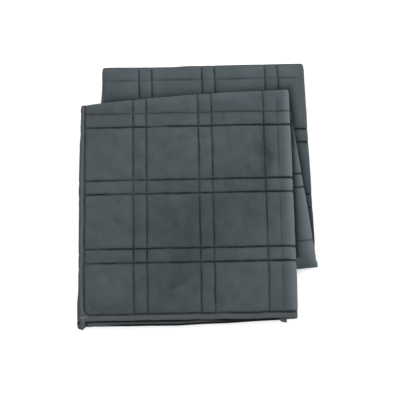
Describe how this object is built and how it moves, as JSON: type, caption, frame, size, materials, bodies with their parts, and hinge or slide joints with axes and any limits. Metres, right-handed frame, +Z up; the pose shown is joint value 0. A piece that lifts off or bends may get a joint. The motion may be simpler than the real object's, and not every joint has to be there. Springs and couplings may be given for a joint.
{
  "type": "folded weighted blanket",
  "caption": "Quilted weighted blanket with a bound edge, folded in three across its width and into a pile of four panels.",
  "frame": {"origin": "under the middle of the folded pile's outline, on the surface it rests on", "axes": "+Z up; -Y towards the front, where the bound end of the top panel lies; +X to the right, where the top panel's side fold lies"},
  "size_m": [0.5488, 0.6282, 0.069],
  "materials": {
    "quilted_blanket": "smooth brushed microfibre, slate grey",
    "edge_binding": "smooth woven tape, slate grey"
  },
  "bodies": {
    "root": {"quilted_blanket": "quilted_blanket", "edge_binding": "edge_binding"}
  },
  "joints": []
}
